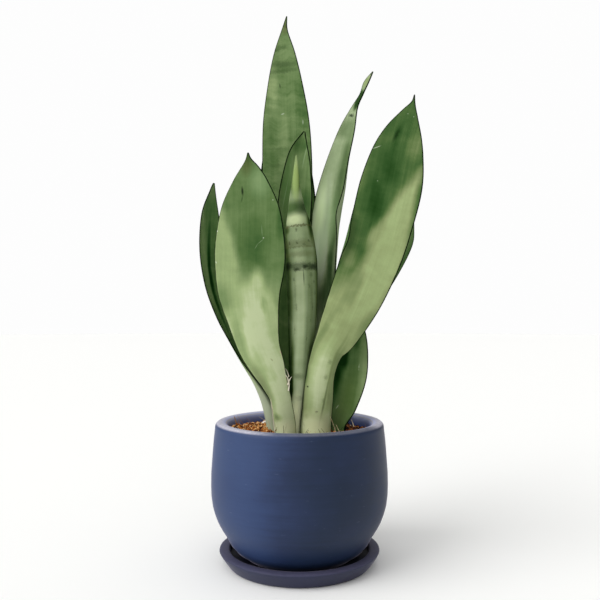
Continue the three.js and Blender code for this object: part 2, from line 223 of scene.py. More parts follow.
    # Pinholes, scuffs, dust, the pale edge (wear and painted sheen), painted light on the inner wall, soil
    # dust and painted shade on the saucer's floor
    for share, over in [
        (pitted, "#1b2338"), (scuffed, "#7f8aa6"), (greyed, "#312f43"),
        (rubbed_and_sheen, wear_and_sheen_colour), (painted_inner_light, painted_wall_light), (dusty, "#b5a994"), (painted_shade, "#0b0c12"),
    ]:
        colour = add("Mix", {"Factor": share, "A": colour, "B": over}, data_type="RGBA")["Result"]
    roughness = add("MapRange", {
        "Value": mottled, "From Min": 0.3, "From Max": 0.7, "To Min": 0.44, "To Max": 0.54,
    })[0]
    ringed = add("Bump", {"Height": streaks, "Strength": 0.15, "Distance": 0.25 * MM})["Normal"]
    skin = add("TexNoise", {"Vector": place, "Scale": 1 / (0.7 * MM), "Detail": 2})["Fac"]
    normal = add("Bump", {
        "Height": skin, "Strength": 0.2, "Distance": 0.12 * MM, "Normal": ringed,
    })["Normal"]
    finish_with(material, Base_Color=colour, Roughness=roughness, Normal=normal, IOR=1.5,
                Specular_IOR_Level=0.25, Sheen_Weight=0.4, Sheen_Roughness=0.17, Sheen_Tint="#d6cfe6")
    return material


def dress(piece, look, slot_name, *nodes):
    """Gives a finished piece its look, joins it to the root and hides the CAD nodes that it stands for.
    slot_name is not used.
    """
    piece.data.materials.clear()
    piece.data.materials.append(look)
    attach(piece, "root")
    if nodes:
        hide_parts(*nodes)


saucer = turn_on_wheel("saucer_dish", SAUCER_RINGS)
dress(saucer, blue_stoneware(
    "blue_stoneware_saucer", pale_edge_from=12.4, pale_edge_to=14.2, wear_and_sheen_amount=0.3, wear_and_sheen_colour="#76738c",
    front_wear_and_sheen=1, painted_shade_below=12.8, inner_light_and_dust=0, left_light=0.06, greyed=0.65,
), "saucer_ceramic", "saucer")

# Pot
# The pot is a swollen cup of the same stoneware, slip cast in one piece: a narrow foot, a full belly
# and a thick round lip. Water runs out through one hole in the middle of its floor.

# The pot's foot stands this high over the table, and the heights below are over its foot
POT_BASE = 8
POT_OUTSIDE = [
    (48.5, 0), (49.6, 0.3), (50.6, 1.2), (53.6, 3.4), (57.5, 6), (62.7, 12), (67, 20), (70.8, 26), (74, 32),
    (76.6, 39), (78.5, 46), (79.7, 55), (79.95, 64), (79.8, 75), (79, 86), (78.2, 97), (77.4, 106),
    (76.5, 114),
]
# The radius of the lip's middle, its level, half its width, and its rise
POT_LIP = (70.75, 114, 5.75, 6)
LIP_FLATNESS = 0.75
LIP_STEPS = 14
POT_INSIDE = [
    (65, 114), (66.5, 102), (69, 84), (70, 62), (67.5, 43), (63, 30), (56, 19), (50, 13), (45, 10.6),
    (38, 10), (11, 10), (10.2, 9.4), (10, 8.6), (10, 1), (10.4, 0.3), (11.2, 0),
]


def pot_rings():
    """The pot's outline from its foot up over the lip, down inside and out through the drain hole"""
    middle, level, half_width, rise = POT_LIP
    lip = []
    for step in range(1, LIP_STEPS):
        turn = math.pi * step / LIP_STEPS
        outward = math.copysign(abs(math.cos(turn)) ** LIP_FLATNESS, math.cos(turn))
        lip.append((middle + half_width * outward, level + rise * math.sin(turn) ** LIP_FLATNESS))
    outline = POT_OUTSIDE + lip + POT_INSIDE + [POT_OUTSIDE[0]]
    return [(radius, POT_BASE + height) for radius, height in outline]


pot = turn_on_wheel("pot_cup", pot_rings())
dress(pot, blue_stoneware(
    "blue_stoneware_pot", pale_edge_from=125.6, pale_edge_to=127.4, wear_and_sheen_amount=0.95, wear_and_sheen_colour="#c2c0cd",
    front_wear_and_sheen=0.2, painted_shade_below=0, inner_light_and_dust=0.85, left_light=0.2, greyed=0,
), "pot_ceramic", "pot")

# Soil
# The soil is damp coir with bark: a dark crumbly bed that rises into low mounds, loose crumbs and
# chips from rust to tan on top of it, short coir threads that stick out of it, and a few white crumbs.

SOIL_RINGS = [
    (1, 18.4), (44, 18.6), (55.2, 27), (62.2, 38), (66.8, 51), (69.4, 66), (69.6, 76), (68.6, 92),
    (66.8, 104), (65.6, 112), (64.6, 116.4),
]
SOIL_SIDES = 180
SOIL_TOP_RADIUS = 64.6
SOIL_TOP_STEP = 1.1
SOIL_LEVEL = 117  # of the top while it is still flat
SOIL_EDGE = 116.3  # what lies above this is shaped
SOIL_CROWN = 118.4
SOIL_FALL = 1.9  # from the crown to the wall
# Low mounds and one hollow: x, y, radius and rise in millimetres
SOIL_MOUNDS = [
    (-44, 18, 20, 4.5), (-59, 3, 9, 4.5), (-52, -8, 14, 2.5), (-22, 42, 20, 3), (52, 8, 14, 2.5),
    (20, 46, 16, 2), (-36, -10, 16, 4.5), (0, -28, 24, -2.6),
]
# Lumps and small lumps: their size, their rise, and the layer of the noise
SOIL_LUMPS = [(9, 1.1, 0.5), (2.6, 0.7, 4.2)]


def soil_height(x, y):
    """Height of the soil in millimetres: a shallow crown with mounds and lumps"""
    reach = math.hypot(x, y) / SOIL_TOP_RADIUS
    height = SOIL_CROWN - SOIL_FALL * reach ** 2
    for mound_x, mound_y, radius, rise in SOIL_MOUNDS:
        away = ((x - mound_x) ** 2 + (y - mound_y) ** 2) / radius ** 2
        height += rise * math.exp(-2 * away)
    edge = 1 - min(1, reach) ** 8
    for size, rise, layer in SOIL_LUMPS:
        height += rise * edge * noise.noise((x / size, y / size, layer))
    return height


def soil_bed_rings():
    steps = int(SOIL_TOP_RADIUS / SOIL_TOP_STEP)
    top = [(SOIL_TOP_RADIUS * step / steps, SOIL_LEVEL) for step in range(steps - 1, 0, -1)]
    return SOIL_RINGS + top


soil = turn_on_wheel("soil_bed", soil_bed_rings(), sides=SOIL_SIDES)
for vertex in soil.data.vertices:
    if vertex.co.z > SOIL_EDGE * MM:
        vertex.co.z = soil_height(vertex.co.x / MM, vertex.co.y / MM) * MM


# Coir and bark, shredded and composted: dull and rough, from near black to rust and tan. Perlite and
# dried leaf fibre are as dull and rough, in colours of their own.
def coir_look(name, stops, grain):
    """stops are the colours from dark to light, and grain is the size of its flecks in millimetres"""
    material, add = new_material(name)
    place = add("TexCoord", {})["Object"]
    flecks = add("TexNoise", {
        "Vector": place, "Scale": 1 / (grain * MM), "Detail": 4, "Roughness": 0.7,
    })["Fac"]
    tint = add("Attribute", {}, attribute_name="tint")["Fac"]
    mixed = add("Math", {0: flecks, 1: 0.55, 2: tint}, operation="MULTIPLY_ADD")[0]
    colour = add("ValToRGB", {"Fac": mixed}, stops=stops)["Color"]
    roughness = add("MapRange", {"Value": flecks, "To Min": 0.8, "To Max": 1})[0]
    normal = add("Bump", {"Height": flecks, "Strength": 0.6, "Distance": 0.6 * MM})["Normal"]
    finish_with(material, Base_Color=colour, Roughness=roughness, Normal=normal, Specular_IOR_Level=0.2)
    return material


bed_look = coir_look("composted_coir", [
    (0.2, "#1a0905"), (0.35, "#3f1e0d"), (0.5, "#663714"), (0.65, "#8c511d"),
], 2.2)
dress(soil, bed_look, "soil", "potting_soil")


def take_apart(model):
    """A model's corners and faces, for its copies. The model itself is removed."""
    mesh = model.data
    corners = [vertex.co.copy() for vertex in mesh.vertices]
    faces = [list(face.vertices) for face in mesh.polygons]
    bpy.data.objects.remove(model)
    bpy.data.meshes.remove(mesh)
    return corners, faces


def model_crumb(seed):
    """One angular crumb about its middle, about a unit across"""
    deselect_all()
    bpy.ops.mesh.primitive_ico_sphere_add(subdivisions=1, radius=0.5)
    corners, faces = take_apart(bpy.context.object)
    draw = random.Random(seed)
    return [corner * draw.uniform(*CRUMB_CORNERS) for corner in corners], faces


def model_thread(steps):
    """One three-sided thread a unit long, which stands along Z from its root to its point"""
    deselect_all()
    bpy.ops.mesh.primitive_cone_add(vertices=3, radius1=0.5, radius2=0.15, depth=1, end_fill_type="TRIFAN",
                                    location=(0, 0, 0.5))
    bpy.ops.object.transform_apply(location=True, rotation=True, scale=True)
    for step in range(1, steps):
        bpy.ops.object.mode_set(mode="EDIT")
        bpy.ops.mesh.select_all(action="SELECT")
        bpy.ops.mesh.bisect(plane_co=(0, 0, step / steps), plane_no=(0, 0, 1))
        bpy.ops.object.mode_set(mode="OBJECT")
    return take_apart(bpy.context.object)


def strew(name, copies):
    """One piece from many small copies, each given as its corners, its faces and its tint"""
    corners = []
    faces = []
    tints = []
    for copy_corners, copy_faces, tint in copies:
        start = len(corners)
        corners.extend(copy_corners)
        faces.extend([start + corner for corner in face] for face in copy_faces)
        tints.extend([tint] * len(copy_corners))
    mesh = bpy.data.meshes.new(name)
    mesh.from_pydata(corners, [], faces)
    mesh.attributes.new("tint", "FLOAT", "POINT").data.foreach_set("value", tints)
    piece = bpy.data.objects.new(name, mesh)
    bpy.context.scene.collection.objects.link(piece)
    return piece


# Where the leaves stand: x, y and half the width of a leaf's foot. Crumbs lie against the feet.
LEAF_FEET = [
    (-8.5, 22, 14), (1, 35, 14), (20.5, 26, 11), (18.5, 14, 12), (-6.5, 15, 14), (-1.5, -9, 12),
    (35, 0, 10), (-28, -4, 11), (-12.5, -22, 13), (15, -18, 16),
]
FOOT_CORE = 0.6  # the share of a foot that loose crumbs and threads keep off


def open_soil(draw, reach):
    """A place on the soil, in millimetres, that no leaf stands on"""
    while True:
        radius = reach * math.sqrt(draw.random())
        turn = draw.uniform(0, 2 * math.pi)
        x, y = radius * math.cos(turn), radius * math.sin(turn)
        if all(math.hypot(x - foot_x, y - foot_y) > foot * FOOT_CORE for foot_x, foot_y, foot in LEAF_FEET):
            return x, y


def any_turn(draw):
    """A random turn for a crumb"""
    return Vector((draw.random(), draw.random(), draw.random())).to_track_quat("X", "Z")


def crumb(shape, x, y, lift, size, turns, tint):
    """A copy of a crumb's shape, for strew: scaled by size along each axis, turned, and with its middle
    lifted over the soil at x, y. Millimetres."""
    corners, faces = shape
    matrix = turns.to_matrix()
    middle = Vector((x, y, soil_height(x, y) + lift))
    sized = [Vector((c.x * size[0], c.y * size[1], c.z * size[2])) for c in corners]
    return [(matrix @ corner + middle) * MM for corner in sized], faces, tint


CRUMBS = 3600
CRUMB_SEED = 11
CRUMB_SHAPES = 6
CRUMB_REACH = 63
CRUMB_SIZES = [1.0, 1.4, 1.8, 2.4, 3.2]
CRUMB_CORNERS = (0.7, 1.25)  # how far out its corners are, as shares of an even crumb's
# Its length, its thickness and its lift, as shares of its size
CRUMB_LENGTHS = (0.7, 1.6)
CRUMB_THICKNESSES = (0.45, 0.9)
CRUMB_LIFTS = (0, 0.35)
CRUMB_TINTS = (-0.32, 0.42)
# The crumbs are painted lighter at the left and darker at the right, as painted light from the left:
# one whole step of tint in this many millimetres
SOIL_LIGHT_SPAN = 330
draw = random.Random(CRUMB_SEED)
crumb_shapes = [model_crumb(seed) for seed in range(CRUMB_SHAPES)]
crumbs = []
for number in range(CRUMBS):
    x, y = open_soil(draw, CRUMB_REACH)
    across = draw.choice(CRUMB_SIZES)
    size = (across * draw.uniform(*CRUMB_LENGTHS), across, across * draw.uniform(*CRUMB_THICKNESSES))
    lift = across * draw.uniform(*CRUMB_LIFTS)
    turns = any_turn(draw)
    shape = draw.choice(crumb_shapes)
    # painted light: lighter towards the left
    tint = draw.uniform(*CRUMB_TINTS) - x / SOIL_LIGHT_SPAN
    crumbs.append(crumb(shape, x, y, lift, size, turns, tint))
soil_crumbs = strew("soil_crumbs", crumbs)
dress(soil_crumbs, coir_look("bark_crumbs", [
    (0.0, "#240b04"), (0.2, "#441c0c"), (0.32, "#6d3717"), (0.46, "#985721"), (0.6, "#bb7d3a"),
    (0.8, "#d9ad76"),
], 1.3), "soil")

THREADS = 1000
THREAD_REACH = 60
THREAD_LENGTHS = [5, 7, 9, 13]
THREAD_WIDTHS = (0.3, 0.55)
THREAD_LEANS = (45, 88)
THREAD_BENDS = (-20, 80)
THREAD_TINTS = (-0.1, 0.6)
THREAD_STEPS = 5
THREAD_DEPTH = 1  # of its root in the soil
thread_corners, thread_faces = model_thread(THREAD_STEPS)


def thread(x, y, length, width, lean, compass, bend, tint, root_height=None):
    """One thread, for strew, that leaves the soil at x, y, or starts at root_height; lengths in
    millimetres, angles in degrees"""
    lean, compass, bend = math.radians(lean), math.radians(compass), math.radians(bend)
    along = Vector((math.cos(compass), math.sin(compass), 0))
    aside = Vector((-along.y, along.x, 0))
    root = Vector((x, y, root_height or soil_height(x, y) - THREAD_DEPTH))
    corners = []
    for corner in thread_corners:
        angle = lean + bend * corner.z
        forward = math.sin(angle) * length * corner.z
        up = math.cos(angle) * length * corner.z
        spot = root + along * (forward + corner.x * width * math.cos(angle)) + aside * corner.y * width
        spot.z += up - corner.x * width * math.sin(angle)
        corners.append(spot * MM)
    return corners, thread_faces, tint


threads = []
for number in range(THREADS):
    x, y = open_soil(draw, THREAD_REACH)
    length = draw.choice(THREAD_LENGTHS)
    width = draw.uniform(*THREAD_WIDTHS)
    lean = draw.uniform(*THREAD_LEANS)
    compass = draw.uniform(0, 360)
    bend = draw.uniform(*THREAD_BENDS)
    threads.append(thread(x, y, length, width, lean, compass, bend, draw.uniform(*THREAD_TINTS)))
# The tuft at the left, the stalk at the right and the thin stalks at the leaves' feet: x, y, length,
# width, lean, compass, bend and tint
for stalk in [
    (-58, 14, 13, 1.8, 6, 170, 8, 0.3), (-55, 16, 9, 0.9, 20, 120, 20, 0.2),
    (-54, 12, 8, 0.9, 30, 200, 30, 0.4), (-52, 17, 7, 0.8, 25, 60, 30, 0.3),
    (50, 6, 9, 1.7, 4, 160, 12, 0.7), (51, 3, 6, 0.8, 35, 150, 20, 0.2),
    (33, -22, 20, 0.6, 12, 175, 6, 0.6), (36, -24, 13, 0.5, 14, 120, 20, 0.6),
    (30, -26, 9, 0.5, 30, 20, 20, 0.5), (5, -30, 10, 0.6, 20, 40, 20, 0.3),
    (7, -29, 8, 0.5, 40, 60, 10, 0.2), (3, -29, 8, 0.5, 25, 150, 20, 0.2),
    (-23.5, -38, 18, 0.7, 6, 175, 4, 0.5), (26, -28, 9, 0.5, 30, 10, 20, 0.4),
    (13, -42, 12, 0.4, 20, 150, 20, 0.5),
]:
    threads.append(thread(*stalk))
# Dark rotted stalks at the leaves' feet: x, y, length, lean and compass
ROTTED_WIDTH = 0.9
ROTTED_BEND = 10
ROTTED_TINT = -0.4
for x, y, length, lean, compass in [
    (2, -35, 13, 20, 30), (4, -36, 12, 30, 60), (-13, -42, 14, 8, 100), (17, -42, 11, 30, 20),
    (25, -40, 13, 25, 150), (-24, -37, 13, 12, 10), (31, -33, 13, 20, 10), (42, -22, 9, 30, 60),
    (8, -40, 12, 35, 170), (-19, -40, 11, 25, 170), (-22, -38, 11, 5, 20), (20, -41, 11, 12, 160),
]:
    threads.append(thread(x, y, length, ROTTED_WIDTH, lean, compass, ROTTED_BEND, ROTTED_TINT))
soil_threads = strew("soil_threads", threads)
dress(soil_threads, coir_look("coir_threads", [
    (0.0, "#241608"), (0.2, "#5a3415"), (0.45, "#94602c"), (0.7, "#c79a62"), (0.95, "#e8d7b6"),
], 3), "soil")

# Expanded perlite, white, porous and chalky: x, y and size of each crumb.
WHITE_CRUMBS = [
    (-33, 28, 6), (18, 52, 3.2), (-8, -50, 2.6), (48, 30, 3), (-50, -30, 2.8), (40, -40, 2.4),
]
WHITE_SHARES = (1, 0.9, 0.8)  # its length, width and thickness, as shares of its size
WHITE_LIFT = 0.3  # also a share of its size
WHITE_TINT = 0.3
white_crumbs = []
for x, y, across in WHITE_CRUMBS:
    shape = draw.choice(crumb_shapes)
    size = [across * share for share in WHITE_SHARES]
    white_crumbs.append(crumb(shape, x, y, across * WHITE_LIFT, size, any_turn(draw), WHITE_TINT))
perlite = strew("perlite_crumbs", white_crumbs)
dress(perlite, coir_look("expanded_perlite", [(0.2, "#b5b2a8"), (0.6, "#eceae2")], 1.2), "soil")

# Leaves
# Each leaf is one thick waxy blade that grows out of the soil: rolled or channelled at its foot, flatter
# above, and drawn to a point, which is hard and dark on all but the young one. It stays one piece, and
# its bands and scars are in its skin.

ROOT_LEVEL = 94
ROOT_THICKNESS = 3.6
TIP_THICKNESS = 1.6
EDGE_THICKNESS = 0.9
# Where a blade is narrow, it is no thicker than this share of its width and this much more
NARROW_SHARE = 0.3
NARROW_REST = 0.5
NARROWEST = 1
BLADE_ROWS = 120
BLADE_COLUMNS = 28
WALK_STEPS = 8  # from one column to the next
FINE_STEPS = 600  # along the blade, to measure its length
NEARBY = 0.01  # of the way between stations, to find which way the blade runs
CURL_FULLNESS = 0.8
WAVE_DEPTH = 0.35  # of the margins' slight waves
WAVE_LENGTH = 30
WAVE_APART = 7  # so far apart in the noise that the two margins wave each in its own way
NO_ROLL = (0, 0, 0, 0, 1)


def station_at(stations, place):
    """A smooth run through the stations, which starts straight up out of the soil"""
    start_index = min(int(place), len(stations) - 2)
    share = place - start_index
    start, end = stations[start_index], stations[start_index + 1]
    if start_index > 0:
        before = stations[start_index - 1]
    else:
        before = list(stations[1])
        before[2] = 2 * stations[0][2] - stations[1][2]
    if start_index + 2 < len(stations):
        after = stations[start_index + 2]
    else:
        after = [2 * e - s for e, s in zip(end, start)]
    return [
        0.5 * (2 * s + (e - b) * share + (2 * b - 5 * s + 4 * e - a) * share ** 2
               + (3 * s - b - 3 * e + a) * share ** 3)
        for b, s, e, a in zip(before, start, end, after)
    ]


def even_places(stations, rows):
    """Places along the stations that are equally far apart on the blade, and its length"""
    fine = [(len(stations) - 1) * step / FINE_STEPS for step in range(FINE_STEPS + 1)]
    middles = [Vector(station_at(stations, place)[:3]) for place in fine]
    runs = [0]
    for one, other in zip(middles, middles[1:]):
        runs.append(runs[-1] + (other - one).length)
    places = []
    step = 0
    for row in range(rows + 1):
        wanted = runs[-1] * row / rows
        while step < FINE_STEPS - 1 and runs[step + 1] < wanted:
            step += 1
        part = (wanted - runs[step]) / (runs[step + 1] - runs[step])
        places.append(fine[step] + (fine[step + 1] - fine[step]) * min(1, part))
    return places, runs[-1]


def half_section(half_width, turn, roll, roll_radius):
    """One half of the blade's section, walked out from its middle: how far across and forward each
    column lies, and its distance round the curve. roll curls the margin forward by that many radians."""
    straight = half_width
    if roll:
        straight -= roll_radius * math.sin(min(roll, math.pi / 2))
    whole = straight + roll * roll_radius
    columns = BLADE_COLUMNS // 2
    step = whole / (columns * WALK_STEPS)
    across = forward = walked = 0
    section = [(0, 0, 0)]
    for _ in range(columns):
        for _ in range(WALK_STEPS):
            middle = walked + step / 2
            heading = turn * min(1, middle / half_width) + max(0, middle - straight) / roll_radius
            across += step * math.cos(heading)
            forward += step * math.sin(heading)
            walked += step
        section.append((across, forward, walked))
    return section


def blade(name, stations, roll=NO_ROLL):
    """A blade's mesh through its stations. A station is x, y and z of the blade's middle, its width
    round the curve, the compass turn of its face (0 to the front, 90 to the right) and the turns of its
    left and right halves, or one turn for both. roll is the side (-1 left), the run it starts and ends
    at, its turn and its radius, for a margin that curls forward. Millimetres and degrees."""
    # A station with one turn gets it twice
    stations = [(*station, station[-1])[:7] for station in stations]
    roll_side, roll_start, roll_end, roll_turn, roll_radius = roll
    deselect_all()
    bpy.ops.mesh.primitive_grid_add(x_subdivisions=BLADE_COLUMNS, y_subdivisions=BLADE_ROWS, size=2)
    leaf = bpy.context.object
    leaf.name = name
    leaf.data.name = name
    places, length = even_places(stations, BLADE_ROWS - 1)
    last = len(stations) - 1
    rows = []
    for row, place in enumerate(places):
        x, y, height, width, face, left_turn, right_turn = station_at(stations, place)
        width = max(width, NARROWEST)
        above = Vector(station_at(stations, min(place + NEARBY, last))[:3])
        below = Vector(station_at(stations, max(place - NEARBY, 0))[:3])
        climb = (above - below).normalized() if row else Vector((0, 0, 1))
        face = math.radians(face)
        normal = Vector((math.sin(face), -math.cos(face), 0))
        normal = (normal - climb * normal.dot(climb)).normalized()
        run = length * row / (BLADE_ROWS - 1)
        halves = {}
        for side, turn in ((-1, left_turn), (1, right_turn)):
            curl = 0
            if side == roll_side and roll_start < run < roll_end:
                way = (run - roll_start) / (roll_end - roll_start)
                curl = math.radians(roll_turn) * math.sin(math.pi * way) ** CURL_FULLNESS
            halves[side] = half_section(width / 2, math.radians(turn), curl, roll_radius)
        share = row / (BLADE_ROWS - 1)
        middle_thickness = ROOT_THICKNESS + (TIP_THICKNESS - ROOT_THICKNESS) * share
        middle_thickness = max(EDGE_THICKNESS, min(middle_thickness, NARROW_SHARE * width + NARROW_REST))
        rows.append((Vector((x, y, height)), normal, climb.cross(normal), halves, run, middle_thickness))
    # The root stands straight below the first row and has the same section
    x, y, height = stations[0][:3]
    rows.insert(0, (Vector((x, y, ROOT_LEVEL)), *rows[0][1:4], ROOT_LEVEL - height, rows[0][5]))

    mesh = leaf.data
    in_blade = []
    rims = []
    thickness = leaf.vertex_groups.new(name="thickness")
    for vertex in mesh.vertices:
        column = round((vertex.co.x + 1) / 2 * BLADE_COLUMNS) - BLADE_COLUMNS // 2
        row = round((vertex.co.y + 1) / 2 * BLADE_ROWS)
        middle, normal, sideways, halves, run, middle_thickness = rows[row]
        side = -1 if column < 0 else 1
        across, forward, walked = halves[side][abs(column)]
        share = abs(column) / (BLADE_COLUMNS // 2)
        wave = noise.noise((run / WAVE_LENGTH, side * WAVE_APART, stations[0][0]))
        forward += WAVE_DEPTH * share ** 2 * wave
        vertex.co = (middle + sideways * side * across + normal * forward) * MM
        at = EDGE_THICKNESS + (middle_thickness - EDGE_THICKNESS) * (1 - share ** 2)
        thickness.add([vertex.index], at / ROOT_THICKNESS, "REPLACE")
        rims.append(halves[side][-1][2] - walked)
        in_blade.append((side * walked, run))
    mesh.attributes.new("rim", "FLOAT", "POINT").data.foreach_set("value", rims)
    mesh.uv_layers[0].name = "blade"
    for loop in mesh.loops:
        mesh.uv_layers["blade"].uv[loop.index].vector = in_blade[loop.vertex_index]
    thicken = leaf.modifiers.new("thicken", "SOLIDIFY")
    thicken.thickness = ROOT_THICKNESS * MM
    thicken.offset = 0
    thicken.vertex_group = "thickness"
    smooth = leaf.modifiers.new("smooth", "SUBSURF")
    smooth.levels = 1
    smooth.render_levels = 1
    bpy.ops.object.modifier_apply(modifier="thicken")
    bpy.ops.object.modifier_apply(modifier="smooth")
    bpy.ops.object.shade_smooth()
    return leaf


def even_stops(*colours):
    """Colours at even steps from 0 to 1"""
    return [(number / (len(colours) - 1), colour) for number, colour in enumerate(colours)]


# Waxy leaf skin, grown: a satin green that runs from near black through mid green to a silvery bloom,
# drawn out in fine lines along the blade and in ragged bands across it, inside a thin dark margin.
# A tone is a place on this run of greens, from 0 at its dark end to 1 at its light end. Some leaves
# have a run of their own, a little greyer, fresher or yellower.
GREENS = even_stops(
    "#112c0e", "#1f3e17", "#2e4d23", "#3e5c2f", "#506b3b", "#637b4b", "#728858", "#839665", "#92a571",
    "#a4b482", "#b7c398",
)
MARGIN_GREEN = "#0c1a0a"
RAGGED = 0.8  # how far the margin's width varies
LINE_CONTRAST = 0.22
BLOTCH_CONTRAST = 0.2
MARK_SOFTNESS = 0.7


def patch(add, place, middle, size, tilt):
    """An ellipse on the blade, which rises from 0 at its outline to 1 in its middle. tilt is a list of
    its tilt, or an empty one."""
    inside = add("Mapping", {
        "Vector": place, "Location": (*middle, 0), "Rotation": (0, 0, math.radians(sum(tilt))),
        "Scale": (*size, 1),
    }, vector_type="TEXTURE")[0]
    return add("TexGradient", {"Vector": inside}, gradient_type="SPHERICAL")["Fac"]


def leaf_look(name, tone, shades, marks, banding=0.12, margins=(0.8, 0.8), greens=GREENS, wandering=(6, 17)):
    """tone is the blade's own place on its run of greens. A shade is across, run, half width, half
    length, its tone, how soft it is, and its tilt if it has one. A mark is a colour, its place and size
    the same way, its strength, 1 if its outline is frayed or 0, and its tilt if it has one. Shades and
    marks are partly the leaf's own tones and scars and partly painted light and painted shade, lighter or
    darker where leaves shade one another. banding is how strong the ragged bands are. margins are the dark
    edges' widths, left and right. wandering is how far the outlines of the shades stray across and along.
    Millimetres and degrees."""
    material, add = new_material(name)
    # The blade's own map is in millimetres, so the patterns' scales are too: features per millimetre
    flat = add("UVMap", {}, uv_map="blade")["UV"]
    drawn = add("Mapping", {"Vector": flat, "Scale": (0.09, 0.03, 1)})[0]
    wander = add("TexNoise", {"Vector": drawn, "Scale": 1, "Detail": 5, "Roughness": 0.55})["Color"]
    centred = add("VectorMath", {0: wander, 1: (0.5, 0.5, 0.5)}, operation="SUBTRACT")[0]
    pushed = add("VectorMath", {0: centred, 1: (*wandering, 0), 2: flat}, operation="MULTIPLY_ADD")[0]
    tears = add("TexNoise", {"Vector": flat, "Scale": 0.7, "Detail": 3})["Color"]
    torn = add("VectorMath", {0: tears, 1: (0.5, 0.5, 0.5)}, operation="SUBTRACT")[0]
    frayed = add("VectorMath", {0: torn, 1: (3, 5, 0), 2: flat}, operation="MULTIPLY_ADD")[0]
    grown = add("Mapping", {"Vector": flat, "Scale": (0.28, 0.006, 1)})[0]
    lines = add("TexNoise", {"Vector": grown, "Scale": 1, "Detail": 5, "Roughness": 0.7})["Fac"]
    crossing = add("Mapping", {"Vector": pushed, "Scale": (0.035, 0.16, 1)})[0]
    bands = add("TexNoise", {"Vector": crossing, "Scale": 1, "Detail": 5, "Roughness": 0.65})["Fac"]
    blotched = add("TexNoise", {"Vector": flat, "Scale": 0.07, "Detail": 4})["Fac"]
    total = tone
    for across, run, half_width, half_length, shade_tone, soft, *tilt in shades:
        from_edge = patch(add, pushed, (across, run), (half_width, half_length), tilt)
        share = add("MapRange", {"Value": from_edge, "From Max": soft}, interpolation_type="SMOOTHSTEP")[0]
        total = add("Mix", {"Factor": share, "A": total, "B": shade_tone})["Result"]
    strengths = [(lines, LINE_CONTRAST), (bands, banding), (blotched, BLOTCH_CONTRAST)]
    for pattern, strength in strengths:
        total = add("Math", {0: pattern, 1: strength, 2: total}, operation="MULTIPLY_ADD")[0]
    patterns_mean = sum(strength for _, strength in strengths) / 2
    evened = add("Math", {0: total, 1: patterns_mean}, operation="SUBTRACT")[0]
    colour = add("ValToRGB", {"Fac": evened}, stops=greens)["Color"]
    for hex_code, across, run, half_width, half_length, strength, torn_edge, *tilt in marks:
        skin = frayed if torn_edge else flat
        from_edge = patch(add, skin, (across, run), (half_width, half_length), tilt)
        share = add("MapRange", {"Value": from_edge, "From Max": MARK_SOFTNESS, "To Max": strength})[0]
        colour = add("Mix", {"Factor": share, "A": colour, "B": hex_code}, data_type="RGBA")["Result"]
    rim = add("Attribute", {}, attribute_name="rim")["Fac"]
    across = add("SeparateXYZ", {0: flat})["X"]
    left, right = (width + RAGGED / 2 for width in margins)
    margin = add("MapRange", {
        "Value": across, "From Min": -1, "From Max": 1, "To Min": left, "To Max": right,
    })[0]
    uneven = add("Math", {0: bands, 1: -RAGGED, 2: margin}, operation="MULTIPLY_ADD")[0]
    outside = add("Math", {0: uneven, 1: rim}, operation="SUBTRACT")[0]
    edge = add("MapRange", {"Value": outside, "From Min": -0.3, "From Max": 0.3})[0]
    edged = add("Mix", {"Factor": edge, "A": colour, "B": MARGIN_GREEN}, data_type="RGBA")["Result"]
    waxy = add("MapRange", {
        "Value": blotched, "From Min": 0.3, "From Max": 0.7, "To Min": 0.44, "To Max": 0.54,
    })[0]
    roughness = add("Math", {0: edge, 1: 0.3, 2: waxy}, operation="MULTIPLY_ADD")[0]
    ribbed = add("Bump", {"Height": lines, "Strength": 0.5, "Distance": 0.3 * MM})["Normal"]
    pores = add("TexNoise", {"Vector": flat, "Scale": 1.6, "Detail": 2})["Fac"]
    normal = add("Bump", {
        "Height": pores, "Strength": 0.2, "Distance": 0.1 * MM, "Normal": ribbed,
    })["Normal"]
    bloom = add("MapRange", {"Value": evened, "From Min": 0.1, "From Max": 0.5, "To Max": 0.12})[0]
    gloss = add("MapRange", {"Value": edge, "To Min": bloom, "To Max": 0})[0]
    finish_with(material, Base_Color=edged, Roughness=roughness, Normal=normal, IOR=1.42,
                Specular_IOR_Level=gloss)
    return material


